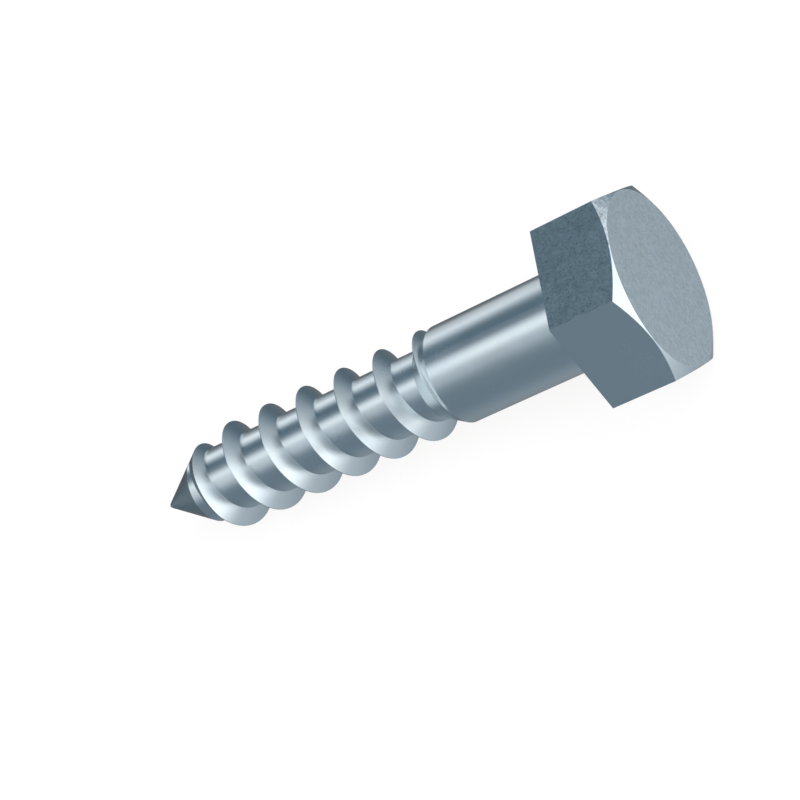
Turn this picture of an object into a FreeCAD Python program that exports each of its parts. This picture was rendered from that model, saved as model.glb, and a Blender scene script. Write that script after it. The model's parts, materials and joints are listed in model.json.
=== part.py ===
import FreeCAD, Part
import math
import os

import Sketcher

# Hex head wood screw: one piece of steel, in millimetres and degrees.
# It is modelled along X, with the under side of its head at X = 0, the head towards +X,
# the tip towards -X and a flat of the hexagon facing down. Its placement lays it on the
# floor at Z = 0, on the edge of that flat and on the crest of the thread.

NODE = "hex_head_wood_screw"

# How a sketch's constraints name the places of its lines, its two axes and its origin
START, END, CENTRE = range(1, 4)
Y_AXIS, X_AXIS = range(-2, 0)
ORIGIN = (X_AXIS, START)

SIZES = (
    ("screw_length", 50.0, "under side of the head to the tip"),
    ("shank_length", 15.0, "under side of the head to the shank's rim"),
    ("across_flats", 16.7, "width of the hexagon"),
    ("head_height", 7.1, "height of the head"),
    ("chamfer_circle", 16.55, "diameter where the head's chamfer meets its top"),
    ("chamfer_angle", 30.0, "slope of the head's chamfer from its top"),
    ("shank_diameter", 9.52, "diameter of the plain shank"),
    ("head_fillet", 0.4, "radius between shank and head"),
    ("shoulder_angle", 30.0, "slope of the shoulder from the axis"),
    ("core_diameter", 6.95, "diameter of the core between the turns of the thread"),
    ("thread_diameter", 9.92, "diameter over the crest of the thread"),
    ("thread_pitch", 4.565, "advance of the thread in one turn"),
    ("crest_width", 0.07, "land on the crest of the thread"),
    ("front_flank_angle", 28.5, "slope of the flank towards the tip, from the radius"),
    ("rear_flank_angle", 32.5, "slope of the flank towards the head, from the radius"),
    ("thread_start", 275.8, "turn of the crest about the axis, from +Y, level with the tip"),
    ("tip_angle", 64.0, "full angle of the cone at the tip"),
    ("tip_radius", 0.32, "rounding of the tip"),
    ("root_depth", 0.3, "depth of the ridge's foot inside the core"),
    ("cut_reach", 1.0, "reach of a cutting outline past the metal"),
)


def fill_sheet(sheet):
    """One row for each driving size: its meaning, its number and its alias."""
    for row, (alias, number, meaning) in enumerate(SIZES, start=1):
        sheet.set(f"A{row}", meaning)
        sheet.set(f"B{row}", str(number))
        sheet.setAlias(f"B{row}", alias)


def new_sketch(body, name, role):
    """A sketch on one of the body's own origin planes."""
    sketch = body.newObject("Sketcher::SketchObject", name)
    planes = [feature for feature in body.Origin.OriginFeatures if feature.Role == role]
    sketch.AttachmentSupport = (planes[0], "")
    sketch.MapMode = "FlatFace"
    return sketch


def add_lines(sketch, *corners):
    """Lines from each corner to the next; returns the number of the first line."""
    points = [FreeCAD.Vector(x, y, 0) for x, y in corners]
    lines = [Part.LineSegment(start, end) for start, end in zip(points, points[1:])]
    numbers = sketch.addGeometry(lines, False)
    for line in numbers[:-1]:
        sketch.addConstraint(Sketcher.Constraint("Coincident", line, END, line + 1, START))
    return numbers[0]


def tie(sketch, name, expression, kind, *places):
    """Adds a constraint whose size follows an expression of the sheet's cells."""
    number = sketch.evalExpression(expression)
    if kind == "Angle":
        number = math.radians(number)
    index = sketch.addConstraint(Sketcher.Constraint(kind, *places, number))
    sketch.renameConstraint(index, name)
    sketch.setExpression(f"Constraints.{name}", expression)


def relate(sketch, kind, *places):
    """Adds a constraint that has no size, such as Horizontal or Tangent."""
    sketch.addConstraint(Sketcher.Constraint(kind, *places))


def turn(body, sketch, kind, name):
    """A full turn of the outline about the screw's axis, added or cut away."""
    turned = body.newObject(kind, name)
    turned.Profile = sketch
    turned.ReferenceAxis = (sketch, ["H_Axis"])
    turned.Angle = 360


def add_blank(body):
    """Turned blank: core, shoulder, plain shank and the fillet under the head.

    The core is one turn longer than the screw, for the tip to be cut from it, and the
    shank reaches into the head.
    """
    sketch = new_sketch(body, "BlankOutline", "XZ_Plane")
    core_radius = sketch.evalExpression("Sizes.core_diameter / 2")
    shank_radius = sketch.evalExpression("Sizes.shank_diameter / 2")
    fillet = sketch.evalExpression("Sizes.head_fillet")
    far_end = -sketch.evalExpression("Sizes.screw_length + Sizes.thread_pitch")
    rim = -sketch.evalExpression("Sizes.shank_length")
    slope = math.radians(sketch.evalExpression("Sizes.shoulder_angle"))
    foot = rim - (shank_radius - core_radius) / math.tan(slope)
    inside = sketch.evalExpression("Sizes.head_height / 2")

    end_face = add_lines(
        sketch,
        (far_end, 0),
        (far_end, core_radius),
        (foot, core_radius),
        (rim, shank_radius),
        (-fillet, shank_radius),
    )
    core, shoulder, shank = end_face + 1, end_face + 2, end_face + 3
    middle = FreeCAD.Vector(-fillet, shank_radius + fillet, 0)
    circle = Part.Circle(middle, FreeCAD.Vector(0, 0, 1), fillet)
    under_head = sketch.addGeometry(Part.ArcOfCircle(circle, -math.pi / 2, 0), False)
    in_head = add_lines(
        sketch,
        (0, shank_radius + fillet),
        (inside, shank_radius + fillet),
        (inside, 0),
        (far_end, 0),
    )
    axis = in_head + 2
    relate(sketch, "Vertical", end_face)
    relate(sketch, "Horizontal", core)
    relate(sketch, "Horizontal", shank)
    relate(sketch, "Tangent", shank, END, under_head, START)
    relate(sketch, "Coincident", under_head, END, in_head, START)
    relate(sketch, "PointOnObject", under_head, END, Y_AXIS)
    relate(sketch, "Horizontal", under_head, CENTRE, under_head, END)
    relate(sketch, "Horizontal", in_head)
    relate(sketch, "Vertical", in_head + 1)
    relate(sketch, "Coincident", axis, END, end_face, START)
    relate(sketch, "PointOnObject", axis, START, X_AXIS)
    relate(sketch, "PointOnObject", axis, END, X_AXIS)
    tie(sketch, "core_radius", "Sizes.core_diameter / 2", "DistanceY", *ORIGIN, core, START)
    tie(
        sketch, "blank_length", "Sizes.screw_length + Sizes.thread_pitch",
        "DistanceX", end_face, START, *ORIGIN,
    )
    tie(sketch, "shoulder_slope", "Sizes.shoulder_angle", "Angle", shoulder)
    tie(sketch, "shank_radius", "Sizes.shank_diameter / 2", "DistanceY", *ORIGIN, shank, START)
    tie(sketch, "shank_length", "Sizes.shank_length", "DistanceX", shank, START, *ORIGIN)
    tie(sketch, "head_fillet", "Sizes.head_fillet", "Radius", under_head)
    tie(sketch, "inside", "Sizes.head_height / 2", "DistanceX", *ORIGIN, in_head, END)
    turn(body, sketch, "PartDesign::Revolution", "Blank")


def add_ridge(body):
    """The thread's ridge, swept along a right-hand helix from the tip past the shank's rim."""
    sketch = new_sketch(body, "RidgeSection", "XZ_Plane")
    turned = FreeCAD.Rotation(FreeCAD.Vector(1, 0, 0), 1)
    sketch.AttachmentOffset = FreeCAD.Placement(FreeCAD.Vector(), turned)
    sketch.setExpression("AttachmentOffset.Rotation.Angle", "Sizes.thread_start - 90")

    crest_radius = sketch.evalExpression("Sizes.thread_diameter / 2")
    foot_radius = sketch.evalExpression("Sizes.core_diameter / 2 - Sizes.root_depth")
    height = crest_radius - foot_radius
    middle = -sketch.evalExpression("Sizes.screw_length")
    half_crest = sketch.evalExpression("Sizes.crest_width / 2")
    front = half_crest + height * sketch.evalExpression("tan(Sizes.front_flank_angle * 1 deg)")
    rear = half_crest + height * sketch.evalExpression("tan(Sizes.rear_flank_angle * 1 deg)")
    front_flank = add_lines(
        sketch,
        (middle - front, foot_radius),
        (middle - half_crest, crest_radius),
        (middle + half_crest, crest_radius),
        (middle + rear, foot_radius),
        (middle - front, foot_radius),
    )
    crest, rear_flank, foot = front_flank + 1, front_flank + 2, front_flank + 3
    relate(sketch, "Coincident", foot, END, front_flank, START)
    relate(sketch, "Horizontal", crest)
    relate(sketch, "Horizontal", foot)
    tie(sketch, "crest_width", "Sizes.crest_width", "DistanceX", crest, START, crest, END)
    tie(sketch, "crest_radius", "Sizes.thread_diameter / 2", "DistanceY", *ORIGIN, crest, START)
    tie(
        sketch, "crest_place", "Sizes.screw_length + Sizes.crest_width / 2",
        "DistanceX", crest, START, *ORIGIN,
    )
    tie(
        sketch, "foot_radius", "Sizes.core_diameter / 2 - Sizes.root_depth",
        "DistanceY", *ORIGIN, foot, START,
    )
    tie(sketch, "front_slope", "90 - Sizes.front_flank_angle", "Angle", front_flank)
    tie(sketch, "rear_slope", "Sizes.rear_flank_angle - 90", "Angle", rear_flank)

    ridge = body.newObject("PartDesign::AdditiveHelix", "Ridge")
    ridge.Profile = sketch
    ridge.ReferenceAxis = (sketch, ["H_Axis"])
    ridge.Mode = "pitch-height-angle"
    ridge.setExpression("Pitch", "Sizes.thread_pitch")
    ridge.setExpression("Height", "Sizes.screw_length - Sizes.shank_length + Sizes.thread_pitch / 2")


def cut_tip(body):
    """Turns the tip: a cone with a rounded end, which also runs the ridge out."""
    sketch = new_sketch(body, "TipOutline", "XZ_Plane")
    tip = -sketch.evalExpression("Sizes.screw_length")
    radius = sketch.evalExpression("Sizes.tip_radius")
    slope = math.radians(sketch.evalExpression("Sizes.tip_angle / 2"))
    outside = sketch.evalExpression("Sizes.thread_diameter / 2 + Sizes.cut_reach")
    far_end = tip - sketch.evalExpression("Sizes.thread_pitch + Sizes.cut_reach")
    middle = FreeCAD.Vector(tip + radius, 0, 0)
    circle = Part.Circle(middle, FreeCAD.Vector(0, 0, 1), radius)
    rounding = sketch.addGeometry(Part.ArcOfCircle(circle, math.pi / 2 + slope, math.pi), False)
    touch = (middle.x - radius * math.sin(slope), radius * math.cos(slope))
    run = (outside - touch[1]) / math.tan(slope)
    cone = add_lines(
        sketch, touch, (touch[0] + run, outside), (far_end, outside), (far_end, 0), (tip, 0)
    )
    relate(sketch, "Tangent", rounding, START, cone, START)
    relate(sketch, "PointOnObject", rounding, CENTRE, X_AXIS)
    relate(sketch, "Coincident", cone + 3, END, rounding, END)
    relate(sketch, "PointOnObject", rounding, END, X_AXIS)
    relate(sketch, "Horizontal", cone + 1)
    relate(sketch, "Vertical", cone + 2)
    relate(sketch, "PointOnObject", cone + 2, END, X_AXIS)
    tie(sketch, "rounding", "Sizes.tip_radius", "Radius", rounding)
    tie(sketch, "length", "Sizes.screw_length", "DistanceX", rounding, END, *ORIGIN)
    tie(sketch, "slope", "Sizes.tip_angle / 2", "Angle", cone)
    tie(
        sketch, "outside", "Sizes.thread_diameter / 2 + Sizes.cut_reach",
        "DistanceY", *ORIGIN, cone, END,
    )
    tie(
        sketch, "far_end", "Sizes.screw_length + Sizes.thread_pitch + Sizes.cut_reach",
        "DistanceX", cone + 2, END, *ORIGIN,
    )
    turn(body, sketch, "PartDesign::Groove", "Tip")


def cut_run_out(body):
    """Takes the ridge off the shank, so that the thread ends at the shank's rim."""
    sketch = new_sketch(body, "RunOutOutline", "XZ_Plane")
    rim = -sketch.evalExpression("Sizes.shank_length")
    past_thread = rim + sketch.evalExpression("Sizes.thread_pitch")
    inside = sketch.evalExpression("Sizes.shank_diameter / 2")
    outside = sketch.evalExpression("Sizes.thread_diameter / 2 + Sizes.cut_reach")
    low_side = add_lines(
        sketch,
        (rim, inside),
        (past_thread, inside),
        (past_thread, outside),
        (rim, outside),
        (rim, inside),
    )
    relate(sketch, "Coincident", low_side + 3, END, low_side, START)
    relate(sketch, "Horizontal", low_side)
    relate(sketch, "Vertical", low_side + 1)
    relate(sketch, "Horizontal", low_side + 2)
    relate(sketch, "Vertical", low_side + 3)
    tie(sketch, "rim", "Sizes.shank_length", "DistanceX", low_side, START, *ORIGIN)
    tie(sketch, "shank_radius", "Sizes.shank_diameter / 2", "DistanceY", *ORIGIN, low_side, START)
    tie(sketch, "length", "Sizes.thread_pitch", "DistanceX", low_side, START, low_side, END)
    tie(
        sketch, "outside", "Sizes.thread_diameter / 2 + Sizes.cut_reach",
        "DistanceY", *ORIGIN, low_side + 1, END,
    )
    turn(body, sketch, "PartDesign::Groove", "RunOut")


def add_head(body):
    """Hexagonal head, with one flat facing down."""
    sketch = new_sketch(body, "Hexagon", "YZ_Plane")
    corner = sketch.evalExpression("Sizes.across_flats / sqrt(3)")
    angles = [math.radians(60 * count) for count in range(7)]
    side = add_lines(sketch, *[(corner * math.cos(a), corner * math.sin(a)) for a in angles])
    relate(sketch, "Coincident", side + 5, END, side, START)
    outer = Part.Circle(FreeCAD.Vector(), FreeCAD.Vector(0, 0, 1), corner)
    circle = sketch.addGeometry(outer, True)
    relate(sketch, "Coincident", circle, CENTRE, *ORIGIN)
    for count in range(6):
        relate(sketch, "PointOnObject", side + count, START, circle)
    for count in range(5):
        relate(sketch, "Equal", side + count, side + count + 1)
    relate(sketch, "Horizontal", side + 4)
    tie(
        sketch, "across_flats", "Sizes.across_flats",
        "DistanceY", side + 4, START, side + 1, END,
    )
    head = body.newObject("PartDesign::Pad", "Head")
    head.Profile = sketch
    head.setExpression("Length", "Sizes.head_height")


def cut_head_chamfer(body):
    """Cone that takes the corners off the top of the head."""
    sketch = new_sketch(body, "ChamferOutline", "XZ_Plane")
    reach = sketch.evalExpression("Sizes.cut_reach")
    top = sketch.evalExpression("Sizes.head_height")
    edge = sketch.evalExpression("Sizes.chamfer_circle / 2")
    outside = sketch.evalExpression("Sizes.across_flats / sqrt(3) + Sizes.cut_reach")
    slope = math.radians(sketch.evalExpression("Sizes.chamfer_angle"))
    cone = add_lines(
        sketch,
        (top + reach, edge - reach / math.tan(slope)),
        (top - (outside - edge) * math.tan(slope), outside),
        (top + reach, outside),
        (top + reach, edge - reach / math.tan(slope)),
    )
    relate(sketch, "Coincident", cone + 2, END, cone, START)
    relate(sketch, "Horizontal", cone + 1)
    relate(sketch, "Vertical", cone + 2)
    meeting = sketch.addGeometry(Part.Point(FreeCAD.Vector(top, edge, 0)), True)
    relate(sketch, "PointOnObject", meeting, START, cone)
    tie(sketch, "top", "Sizes.head_height", "DistanceX", *ORIGIN, meeting, START)
    tie(sketch, "edge", "Sizes.chamfer_circle / 2", "DistanceY", *ORIGIN, meeting, START)
    tie(sketch, "slope", "90 + Sizes.chamfer_angle", "Angle", cone)
    tie(
        sketch, "past_top", "Sizes.head_height + Sizes.cut_reach",
        "DistanceX", *ORIGIN, cone + 2, START,
    )
    tie(
        sketch, "outside", "Sizes.across_flats / sqrt(3) + Sizes.cut_reach",
        "DistanceY", *ORIGIN, cone + 1, END,
    )
    turn(body, sketch, "PartDesign::Groove", "HeadChamfer")


def resting_slope(sheet):
    """Slope of the floor against the axis, in degrees.

    The floor meets the lower edge of the head, at X = 0, and the thread where the rise
    from that edge is least. Each turn passes the bottom of the screw once.
    """
    flat = sheet.across_flats / 2
    half_tip = math.radians(sheet.tip_angle / 2)
    cone_apex = sheet.screw_length + sheet.tip_radius * (1 / math.sin(half_tip) - 1)
    turns_to_bottom = (270 - sheet.thread_start) / 360 % 1
    slopes = []
    distance = sheet.screw_length - turns_to_bottom * sheet.thread_pitch
    while distance > sheet.shank_length:
        radius = min(sheet.thread_diameter / 2, (cone_apex - distance) * math.tan(half_tip))
        slopes.append(math.atan2(flat - radius, distance))
        distance -= sheet.thread_pitch
    return math.degrees(min(slopes))


def lay_down(body, sheet):
    """Tilts the screw onto the floor and centres it over the origin."""
    tilt = FreeCAD.Rotation(FreeCAD.Vector(0, 1, 0), -resting_slope(sheet))
    body.Placement = FreeCAD.Placement(FreeCAD.Vector(), tilt)
    box = body.Shape.optimalBoundingBox(False)
    low_centre = FreeCAD.Vector(box.Center.x, box.Center.y, box.ZMin)
    body.Placement = FreeCAD.Placement(-low_centre, tilt)


def check(document, body):
    """Stops the script if an object has failed or the screw isn't one sound solid."""
    for item in document.Objects:
        for fault in ("Invalid", "Error"):
            if fault in item.State:
                raise RuntimeError(f"{item.Label}: {fault}")
    shape = body.Shape
    if shape.isNull() or not shape.isValid() or len(shape.Solids) != 1:
        raise RuntimeError(f"{body.Label} isn't one valid solid")


def main():
    document = FreeCAD.newDocument("HexHeadWoodScrew")
    sheet = document.addObject("Spreadsheet::Sheet", "Sizes")
    fill_sheet(sheet)
    document.recompute()

    body = document.addObject("PartDesign::Body", "Screw")
    body.Label = NODE
    for build in (add_blank, add_ridge, cut_tip, cut_run_out, add_head, cut_head_chamfer):
        build(body)
        document.recompute()
        print(body.Tip.Label, "volume", round(body.Shape.Volume, 2))

    lay_down(body, sheet)
    document.recompute()
    check(document, body)
    os.makedirs("parts", exist_ok=True)
    body.Shape.exportStep(f"parts/{NODE}.step")


main()
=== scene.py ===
import json
import math

import bpy
from bpy.props import FloatProperty, FloatVectorProperty, PointerProperty
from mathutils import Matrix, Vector

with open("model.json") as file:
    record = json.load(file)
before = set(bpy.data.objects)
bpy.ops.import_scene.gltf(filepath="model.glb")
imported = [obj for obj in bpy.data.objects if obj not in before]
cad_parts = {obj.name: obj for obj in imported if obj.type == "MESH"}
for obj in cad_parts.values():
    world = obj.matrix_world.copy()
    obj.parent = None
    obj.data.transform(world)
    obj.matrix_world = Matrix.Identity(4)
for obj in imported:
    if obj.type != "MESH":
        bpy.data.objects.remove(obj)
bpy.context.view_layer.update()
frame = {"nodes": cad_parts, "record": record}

# Hex head wood screw, bright zinc plated, lying on a pale floor. Lengths are in metres.

bl_info = {
    "name": "Hex Head Wood Screw",
    "version": (1, 0, 0),
    "blender": (4, 5, 0),
    "location": "View3D > Sidebar > Screw",
    "description": "Zinc plated finish for a hex head wood screw, with its studio",
    "category": "Object",
}

SCREW = "hex_head_wood_screw"

# The middle of the head on the screw's axis, the axis, and half the head's height, from the record.
HEXAGON = next(m for m in frame["record"]["mounts"] if m["name"] == "drive_hexagon")
HEAD_MIDDLE = HEXAGON["pos_m"]
HEAD_AXIS = HEXAGON["axis"]
AXIS_SLOPE = math.atan2(HEAD_AXIS[2], HEAD_AXIS[0])
HALF_HEAD = HEXAGON["dims"]["length_mm"] / 2000

# The turn from one face of the hexagon to the next, and how far under the head is still head.
FACE_ANGLE = math.radians(60)
HEAD_MARGIN = 0.00005

# A face looks along the axis by 0 on the flats, 0.87 on the chamfer, 1 on the top and -1 on the
# underside of the head. These are the limits between flat and chamfer, and chamfer and top.
CHAMFER_FACING = 0.5
TOP_FACING = 0.95

# Sixths of a turn are counted round the head, from the middle of a grainy flat. This is how far
# back from there the flat, its rough corner and the corner beside it begin; the chamfer of both
# corners gets a painted highlight.
FLATS_BACK = 0.5
CORNERS_BACK = 0.0
PAINTED_HIGHLIGHT_BACK = 1.0

# The grain's noise is turned against the faces of the head, so that none of them cuts it straight.
GRAIN_TURN = (0.5, 0.7, 0.3)

# The values that noise mostly lies between, and what the mottling makes of them.
NOISE_SPREAD = (0.3, 0.7)
MOTTLE_SPREAD = (-0.5, 0.5)

# The noise at which a pit or a bright crystal begins, and at which it is full.
PIT_NOISE = (0.42, 0.30)
CRYSTAL_NOISE = (0.74, 0.88)

# How much fine detail a cloud has, and how much rougher the plating gets across it.
CLOUD_DETAIL = 2.0
CLOUD_ROUGHNESS = 0.03

# Where a rubbed edge begins and where it is full: cosine of the rounded edge's turn, and grain.
# It is smoother than the plating beside it by the polish, and a few samples find it.
EDGE_COSINE = (0.98, 0.80)
EDGE_GRAIN = (-0.2, 0.6)
EDGE_POLISH = 0.05
EDGE_SAMPLES = 6

# The floor's sides and roughness, the camera's nearest distance, and the white background.
FLOOR_SIDES = 96
FLOOR_ROUGHNESS = 0.9
CLIP_START = 0.01
WHITE = (1, 1, 1, 1)

# Soft lights on the studio's dome: direction from the screw in degrees (azimuth from +X, height
# above the floor), radius of the even middle, width of the soft edge, and level.
DOME_LIGHTS = {
    "near_side": (-29, 56, 37, 30, 1.32),
    "head_end_high": (25, 44, 11, 14, 0.80),
    "head_end": (14, -11, 12, 48, 0.99),
    "head_end_low": (-22, 2, 1, 28, 0.75),
    "overhead": (-176, 61, 4, 14, 1.18),
    "tip_end": (-169, 25, 16, 20, 1.19),
    "far_side": (103, 0, 9, 20, 0.95),
    "far_side_tip": (130, 13, 5, 14, 1.33),
    "open_side": (-61, -3, 14, 115, 0.16),
    "below": (-43, -72, 11, 64, 0.28),
}

# The darker part of the surroundings, in the same terms; its level is the share taken away.
DARK_SIDE = (140, -43, 12, 56, 0.80)


class ScrewFinish(bpy.types.PropertyGroup):
    """Colours and sizes of the zinc plating, and the painted highlights on the head's chamfer."""

    zinc: FloatVectorProperty(
        name="Zinc",
        description="Colour of the plating",
        subtype="COLOR",
        size=3,
        min=0.0,
        max=1.0,
        default=(0.605, 0.648, 0.665),
    )
    zinc_cloud: FloatVectorProperty(
        name="Zinc cloud",
        description="Colour of the plating in its bluer clouds",
        subtype="COLOR",
        size=3,
        min=0.0,
        max=1.0,
        default=(0.591, 0.646, 0.677),
    )
    cloud_size: FloatProperty(
        name="Cloud size",
        description="Width of the clouds in the plating",
        subtype="DISTANCE",
        unit="LENGTH",
        precision=5,
        min=0.0001,
        default=0.0030,
    )
    roughness: FloatProperty(
        name="Roughness",
        description="How matt the plating is, halfway into a cloud",
        subtype="FACTOR",
        min=0.0,
        max=1.0,
        default=0.26,
    )
    grain_size: FloatProperty(
        name="Grain size",
        description="Width of a grain of the plating",
        subtype="DISTANCE",
        unit="LENGTH",
        precision=5,
        min=0.00001,
        default=0.00026,
    )
    grain_depth: FloatProperty(
        name="Grain depth",
        description="How deep the grain is",
        subtype="DISTANCE",
        unit="LENGTH",
        precision=6,
        min=0.0,
        default=0.0000005,
    )
    grain_contrast: FloatProperty(
        name="Grain contrast",
        description="How much a grain darkens or brightens the plating",
        subtype="FACTOR",
        min=0.0,
        max=1.0,
        default=0.18,
    )
    top_grain: FloatProperty(
        name="Top grain",
        description="Grain on the top of the head, as a share of that on its grainy flats",
        subtype="FACTOR",
        min=0.0,
        max=1.0,
        default=0.66,
    )
    corner_grain: FloatProperty(
        name="Corner grain",
        description="Grain on two corners' chamfer, as a multiple of that on the grainy flats",
        min=0.0,
        default=2.0,
    )
    # Painted highlight: this brightens the base colour of the rough corners' chamfer; their extra
    # grain is real.
    corner_painted_highlight: FloatProperty(
        name="Corner painted highlight",
        description="How much brighter the plating is on those two corners' chamfer",
        subtype="FACTOR",
        min=0.0,
        max=1.0,
        default=0.25,
    )
    # Painted highlight: this brightens the base colour of the chamfer beside the rough corners.
    bevel_painted_highlight: FloatProperty(
        name="Bevel painted highlight",
        description="How much brighter the plating is on the chamfer of the corners beside them",
        subtype="FACTOR",
        min=0.0,
        max=1.0,
        default=0.28,
    )
    smooth_grain: FloatProperty(
        name="Smooth grain",
        description="Grain on the smooth faces, as a share of that on the grainy flats",
        subtype="FACTOR",
        min=0.0,
        max=1.0,
        default=0.01,
    )
    edge_radius: FloatProperty(
        name="Edge radius",
        description="How far the plating rounds an edge",
        subtype="DISTANCE",
        unit="LENGTH",
        precision=5,
        min=0.0,
        default=0.00002,
    )
    edge_brightness: FloatProperty(
        name="Edge brightness",
        description="How much brighter a rubbed edge is",
        subtype="FACTOR",
        min=0.0,
        max=1.0,
        default=0.08,
    )


class StudioSettings(bpy.types.PropertyGroup):
    """The floor, the surroundings and the camera."""

    floor_colour: FloatVectorProperty(
        name="Floor colour",
        description="Colour of the floor",
        subtype="COLOR",
        size=3,
        min=0.0,
        max=1.0,
        default=(0.90, 0.90, 0.90),
    )
    floor_radius: FloatProperty(
        name="Floor radius",
        description="Radius of the round floor",
        subtype="DISTANCE",
        unit="LENGTH",
        min=0.05,
        default=0.12,
    )
    floor_white: FloatProperty(
        name="Floor white",
        description="How far the camera sees the floor as the white background",
        subtype="FACTOR",
        min=0.0,
        max=1.0,
        default=0.80,
    )
    floor_glow: FloatVectorProperty(
        name="Floor glow",
        description="White of the floor for the camera, which evens out the tint of the dome",
        subtype="COLOR",
        size=3,
        min=0.0,
        soft_max=1.0,
        default=(1.08, 1.06, 1.05),
    )
    surroundings: FloatVectorProperty(
        name="Surroundings",
        description="Light of the dome between its lamps",
        subtype="COLOR",
        size=3,
        min=0.0,
        max=1.0,
        default=(0.000, 0.077, 0.135),
    )
    white_in_metal: FloatProperty(
        name="White in metal",
        description="How much of the white background the metal shows",
        subtype="FACTOR",
        min=0.0,
        max=1.0,
        default=0.10,
    )
    camera_place: FloatVectorProperty(
        name="Camera place",
        description="Where the camera stands",
        subtype="XYZ",
        unit="LENGTH",
        size=3,
        precision=6,
        default=(0.0883682, -0.0869230, 0.1684959),
    )
    camera_turn: FloatVectorProperty(
        name="Camera turn",
        description="How the camera is turned from looking straight down",
        subtype="EULER",
        unit="ROTATION",
        size=3,
        default=tuple(math.radians(angle) for angle in (20.1338, 32.2831, -9.9582)),
    )
    camera_lens: FloatProperty(
        name="Lens",
        description="Focal length of the camera",
        unit="CAMERA",
        min=1.0,
        default=99.83,
    )


def add_node(tree, kind, inputs=(), **properties):
    """Adds a shader node; an input is given a value, or a link where it is an output socket."""
    node = tree.nodes.new("ShaderNode" + kind)
    for name, value in properties.items():
        setattr(node, name, value)
    for name, value in dict(inputs).items():
        if isinstance(value, bpy.types.NodeSocket):
            tree.links.new(value, node.inputs[name])
        else:
            node.inputs[name].default_value = value
    return node


def add_math(tree, operation, *terms):
    """Adds a Math node for the terms, and gives its result."""
    return add_node(tree, "Math", enumerate(terms), operation=operation).outputs[0]


def add_range(tree, value, low, high, to_low=0.0, to_high=1.0):
    """Spreads a value from one range to another, and holds it there."""
    return add_node(tree, "MapRange", {
        "Value": value,
        "From Min": low,
        "From Max": high,
        "To Min": to_low,
        "To Max": to_high,
    }).outputs["Result"]


def new_group(name, inputs, outputs):
    """Makes a shader node group with sockets of the given kinds, such as Float or Vector."""
    group = bpy.data.node_groups.new(name, "ShaderNodeTree")
    for in_out, sockets in (("INPUT", inputs), ("OUTPUT", outputs)):
        for socket, kind in sockets.items():
            group.interface.new_socket(socket, in_out=in_out, socket_type="NodeSocket" + kind)
    return group, group.nodes.new("NodeGroupInput").outputs, group.nodes.new("NodeGroupOutput")


def head_faces_group():
    """Node group: grainy flats, two sets of corners with painted highlights, and the head's top."""
    group, given, out = new_group(
        "head_faces",
        {"Place": "Vector", "Facing": "Float"},
        {"Flats": "Float", "Corners": "Float", "Bright": "Float", "Top": "Float"},
    )
    along, across, up = add_node(group, "SeparateXYZ", {0: given["Place"]}).outputs
    on_head = add_math(group, "GREATER_THAN", along, -HALF_HEAD - HEAD_MARGIN)
    top = add_math(group, "GREATER_THAN", given["Facing"], TOP_FACING)
    bevelled = add_math(group, "GREATER_THAN", given["Facing"], CHAMFER_FACING)
    sixths = add_math(group, "DIVIDE", add_math(group, "ARCTAN2", across, up), FACE_ANGLE)

    def every_third(back, facing):
        """Marks the faces of a kind that stand in every third sixth of the head."""
        sixth = add_math(group, "FLOOR", add_math(group, "ADD", sixths, back))
        chosen = add_math(group, "LESS_THAN", add_math(group, "FLOORED_MODULO", sixth, 3.0), 0.5)
        return add_math(group, "MULTIPLY", add_math(group, "MULTIPLY", chosen, facing), on_head)

    slant = add_math(group, "ABSOLUTE", given["Facing"])
    upright = add_math(group, "LESS_THAN", slant, CHAMFER_FACING)
    flats = every_third(FLATS_BACK, upright)
    chamfer = add_math(group, "SUBTRACT", bevelled, top)
    group.links.new(flats, out.inputs["Flats"])
    group.links.new(every_third(CORNERS_BACK, chamfer), out.inputs["Corners"])
    group.links.new(every_third(PAINTED_HIGHLIGHT_BACK, chamfer), out.inputs["Bright"])
    group.links.new(add_math(group, "MULTIPLY", top, on_head), out.inputs["Top"])
    return group


def grain_group():
    """Node group: mottling of the plating, lowest in its pits and highest on bright crystals."""
    group, given, out = new_group(
        "plating_grain",
        {"Place": "Vector", "Size": "Float"},
        {"Grain": "Float"},
    )
    scale = add_math(group, "DIVIDE", 1.0, given["Size"])
    turned = add_node(group, "Mapping", {
        "Vector": given["Place"],
        "Rotation": GRAIN_TURN,
    }).outputs["Vector"]

    def noise(fineness, detail, distortion=0.0):
        """Noise whose grains are this many times finer than the grain size."""
        return add_node(group, "TexNoise", {
            "Vector": turned,
            "Scale": add_math(group, "MULTIPLY", scale, fineness),
            "Detail": detail,
            "Distortion": distortion,
        }).outputs["Fac"]

    mottle = add_range(group, noise(fineness=1.0, detail=1.0), *NOISE_SPREAD, *MOTTLE_SPREAD)
    patches = add_range(group, noise(fineness=0.4, detail=1.0), *NOISE_SPREAD, *MOTTLE_SPREAD)
    spots = noise(fineness=1.6, detail=0.0, distortion=0.5)
    pits = add_range(group, spots, *PIT_NOISE)
    crystals = add_range(group, spots, *CRYSTAL_NOISE)
    grain = add_math(group, "ADD", add_math(group, "SUBTRACT", mottle, pits), crystals)
    grain = add_math(group, "ADD", grain, patches)
    group.links.new(grain, out.inputs["Grain"])
    return group


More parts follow.
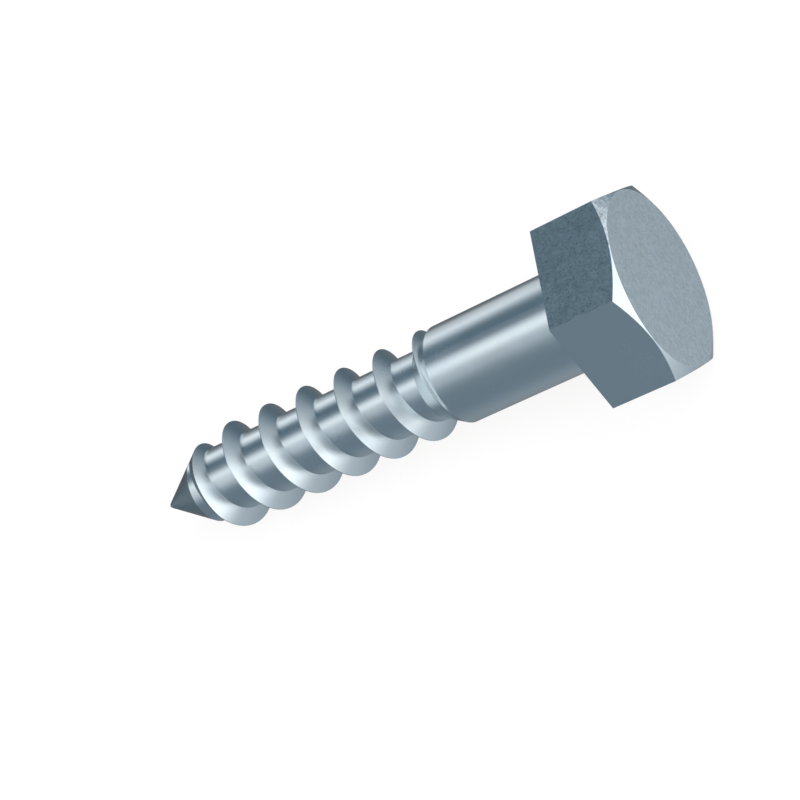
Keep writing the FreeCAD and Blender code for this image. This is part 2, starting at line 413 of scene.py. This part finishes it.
def zinc_material(settings):
    """Zinc plating: grainy on the forged faces of the head, smooth on the rolled shank."""
    material = bpy.data.materials.new("zinc_plated_steel")
    material.use_nodes = True
    tree = material.node_tree
    shader = tree.nodes["Principled BSDF"]
    shader.inputs["Metallic"].default_value = 1.0

    here = add_node(tree, "TexCoord").outputs["Object"]
    place = add_node(tree, "Mapping", {
        "Vector": here,
        "Location": HEAD_MIDDLE,
        "Rotation": (0.0, -AXIS_SLOPE, 0.0),
    }, vector_type="TEXTURE").outputs["Vector"]
    facing = add_node(tree, "VectorMath", {
        0: add_node(tree, "TexCoord").outputs["Normal"],
        1: HEAD_AXIS,
    }, operation="DOT_PRODUCT").outputs["Value"]
    faces = add_node(tree, "Group", {}, node_tree=head_faces_group())
    tree.links.new(place, faces.inputs["Place"])
    tree.links.new(facing, faces.inputs["Facing"])
    flats, corners, painted_highlight_corners, top = (
        faces.outputs[name] for name in ("Flats", "Corners", "Bright", "Top")
    )
    grain = add_node(tree, "Group", {}, node_tree=grain_group())
    tree.links.new(place, grain.inputs["Place"])
    grain.inputs["Size"].default_value = settings.grain_size

    forged = add_math(tree, "MULTIPLY_ADD", top, settings.top_grain, flats)
    forged = add_math(tree, "MULTIPLY_ADD", corners, settings.corner_grain, forged)
    rolled = settings.smooth_grain
    depth = add_math(tree, "MULTIPLY_ADD", forged, 1.0 - rolled, rolled)
    speckle = add_math(tree, "MULTIPLY", grain.outputs["Grain"], depth)
    cloud = add_node(tree, "TexNoise", {
        "Vector": place,
        "Scale": 1.0 / settings.cloud_size,
        "Detail": CLOUD_DETAIL,
    }).outputs["Fac"]
    cloud = add_range(tree, cloud, *NOISE_SPREAD)

    soft_edge = add_node(tree, "Bevel", {"Radius": settings.edge_radius}, samples=EDGE_SAMPLES)
    straight = add_node(tree, "VectorMath", {
        0: soft_edge.outputs["Normal"],
        1: add_node(tree, "NewGeometry").outputs["Normal"],
    }, operation="DOT_PRODUCT").outputs["Value"]
    rubbed = add_range(tree, grain.outputs["Grain"], *EDGE_GRAIN)
    edge = add_math(tree, "MULTIPLY", add_range(tree, straight, *EDGE_COSINE), rubbed)

    colour = add_node(tree, "MixRGB", {
        "Fac": cloud,
        "Color1": (*settings.zinc, 1),
        "Color2": (*settings.zinc_cloud, 1),
    }).outputs["Color"]
    tint = add_math(tree, "MULTIPLY_ADD", speckle, settings.grain_contrast, 1.0)
    tint = add_math(tree, "MULTIPLY_ADD", edge, settings.edge_brightness, tint)
    # Painted highlight: the chamfer of the rough corners and of the corners beside them gets a
    # brighter base colour.
    tint = add_math(tree, "MULTIPLY_ADD", corners, settings.corner_painted_highlight, tint)
    tint = add_math(tree, "MULTIPLY_ADD", painted_highlight_corners, settings.bevel_painted_highlight, tint)
    colour = add_node(tree, "VectorMath", {0: colour, "Scale": tint}, operation="SCALE")
    tree.links.new(colour.outputs["Vector"], shader.inputs["Base Color"])

    least_rough = settings.roughness - CLOUD_ROUGHNESS / 2
    rough = add_math(tree, "MULTIPLY_ADD", cloud, CLOUD_ROUGHNESS, least_rough)
    rough = add_math(tree, "MULTIPLY_ADD", edge, -EDGE_POLISH, rough)
    tree.links.new(rough, shader.inputs["Roughness"])

    bump = add_node(tree, "Bump", {
        "Strength": 1.0,
        "Distance": settings.grain_depth,
        "Height": speckle,
        "Normal": soft_edge.outputs["Normal"],
    })
    tree.links.new(bump.outputs["Normal"], shader.inputs["Normal"])
    return material


def floor_material(settings):
    """Pale matt floor that the camera sees nearly as white, so that only the shadow shows."""
    material = bpy.data.materials.new("pale_floor")
    material.use_nodes = True
    tree = material.node_tree
    shader = tree.nodes["Principled BSDF"]
    shader.inputs["Base Color"].default_value = (*settings.floor_colour, 1)
    shader.inputs["Roughness"].default_value = FLOOR_ROUGHNESS
    shader.inputs["Specular IOR Level"].default_value = 0.0
    camera_ray = add_node(tree, "LightPath").outputs["Is Camera Ray"]
    mix = add_node(tree, "MixShader", {
        0: add_math(tree, "MULTIPLY", camera_ray, settings.floor_white),
        1: shader.outputs[0],
        2: add_node(tree, "Emission", {"Color": (*settings.floor_glow, 1)}).outputs[0],
    })
    tree.links.new(mix.outputs[0], tree.nodes["Material Output"].inputs["Surface"])
    return material


def direction(azimuth, height):
    """Direction from the screw to a point on the dome, from two angles in degrees."""
    azimuth, height = math.radians(azimuth), math.radians(height)
    return Vector((
        math.cos(height) * math.cos(azimuth),
        math.cos(height) * math.sin(azimuth),
        math.sin(height),
    ))


def dome_light_group():
    """Node group: level of one soft round light on the dome, by the angle from its middle."""
    group, given, out = new_group(
        "dome_light",
        {"Look": "Vector", "Middle": "Vector", "Even": "Float", "Edge": "Float", "Level": "Float"},
        {"Light": "Float"},
    )
    cosine = add_node(group, "VectorMath", {
        0: given["Look"],
        1: given["Middle"],
    }, operation="DOT_PRODUCT").outputs["Value"]
    fade = add_node(group, "MapRange", {
        "Value": add_math(group, "ARCCOSINE", cosine),
        "From Min": given["Edge"],
        "From Max": given["Even"],
        "To Min": 0.0,
        "To Max": given["Level"],
    }, interpolation_type="SMOOTHSTEP")
    group.links.new(fade.outputs["Result"], out.inputs["Light"])
    return group


def add_dome_light(tree, group, look, name, place):
    """Adds one of the dome's lights, placed as in DOME_LIGHTS, and gives its level."""
    azimuth, height, even, edge, level = place
    light = add_node(tree, "Group", {}, node_tree=group, label=name)
    tree.links.new(look, light.inputs["Look"])
    light.inputs["Middle"].default_value = direction(azimuth, height)
    light.inputs["Even"].default_value = math.radians(even)
    light.inputs["Edge"].default_value = math.radians(even + edge)
    light.inputs["Level"].default_value = level
    return light.outputs["Light"]


def set_surroundings(scene, settings):
    """Paints the dome: white for the camera, and soft lights on the surroundings for the rest."""
    world = bpy.data.worlds.new("studio")
    scene.world = world
    world.use_nodes = True
    world.cycles.sampling_method = "NONE"
    tree = world.node_tree
    look = add_node(tree, "TexCoord").outputs["Generated"]
    group = dome_light_group()
    total = None
    for name, place in DOME_LIGHTS.items():
        light = add_dome_light(tree, group, look, name, place)
        total = light if total is None else add_math(tree, "ADD", total, light)
    shade = add_dome_light(tree, group, look, "dark_side", DARK_SIDE)
    around = add_node(tree, "VectorMath", {
        0: settings.surroundings,
        "Scale": add_math(tree, "SUBTRACT", 1.0, shade),
    }, operation="SCALE")
    dome = add_node(tree, "VectorMath", {0: total, 1: around.outputs["Vector"]}, operation="ADD")
    rays = add_node(tree, "LightPath").outputs
    in_metal = add_math(tree, "MAXIMUM", rays["Is Glossy Ray"], rays["Is Transmission Ray"])
    in_metal = add_math(tree, "MULTIPLY", in_metal, settings.white_in_metal)
    seen = add_node(tree, "MixRGB", {
        "Fac": add_math(tree, "MAXIMUM", rays["Is Camera Ray"], in_metal),
        "Color1": dome.outputs["Vector"],
        "Color2": WHITE,
    })
    tree.links.new(seen.outputs["Color"], tree.nodes["Background"].inputs["Color"])


class SCREW_OT_finish_screw(bpy.types.Operator):
    """Gives the screw its zinc plating"""

    bl_idname = "screw.finish_screw"
    bl_label = "Finish Screw"

    def execute(self, context):
        screw = frame["nodes"][SCREW]
        material = zinc_material(context.scene.screw_finish)
        for slot in screw.material_slots:
            slot.material = material
        return {"FINISHED"}


class SCREW_OT_add_studio(bpy.types.Operator):
    """Adds the floor, the dome of soft lights and the camera"""

    bl_idname = "screw.add_studio"
    bl_label = "Add Studio"

    def execute(self, context):
        settings = context.scene.screw_studio
        bpy.ops.object.select_all(action="DESELECT")
        bpy.ops.mesh.primitive_circle_add(
            vertices=FLOOR_SIDES, radius=settings.floor_radius, fill_type="NGON"
        )
        floor = context.object
        floor.name = "floor"
        floor.data.materials.append(floor_material(settings))
        floor.visible_glossy = False
        set_surroundings(context.scene, settings)
        bpy.ops.object.camera_add(location=settings.camera_place, rotation=settings.camera_turn)
        camera = context.object
        camera.name = "camera"
        camera.data.lens = settings.camera_lens
        camera.data.clip_start = CLIP_START
        context.scene.camera = camera
        context.scene.view_settings.view_transform = "Standard"
        return {"FINISHED"}


class SCREW_PT_panel(bpy.types.Panel):
    """Lists the operators and their settings."""

    bl_idname = "SCREW_PT_panel"
    bl_label = "Hex Head Wood Screw"
    bl_space_type = "VIEW_3D"
    bl_region_type = "UI"
    bl_category = "Screw"

    def draw(self, context):
        for operator, settings in (
            (SCREW_OT_finish_screw, context.scene.screw_finish),
            (SCREW_OT_add_studio, context.scene.screw_studio),
        ):
            box = self.layout.box()
            for name in settings.__annotations__:
                box.prop(settings, name)
            box.operator(operator.bl_idname)


CLASSES = (
    ScrewFinish,
    StudioSettings,
    SCREW_OT_finish_screw,
    SCREW_OT_add_studio,
    SCREW_PT_panel,
)


def register():
    for cls in CLASSES:
        bpy.utils.register_class(cls)
    bpy.types.Scene.screw_finish = PointerProperty(type=ScrewFinish)
    bpy.types.Scene.screw_studio = PointerProperty(type=StudioSettings)


def unregister():
    del bpy.types.Scene.screw_studio
    del bpy.types.Scene.screw_finish
    for cls in reversed(CLASSES):
        bpy.utils.unregister_class(cls)


def main():
    register()
    bpy.ops.screw.finish_screw()
    bpy.ops.screw.add_studio()


if __name__ == "__main__":
    main()
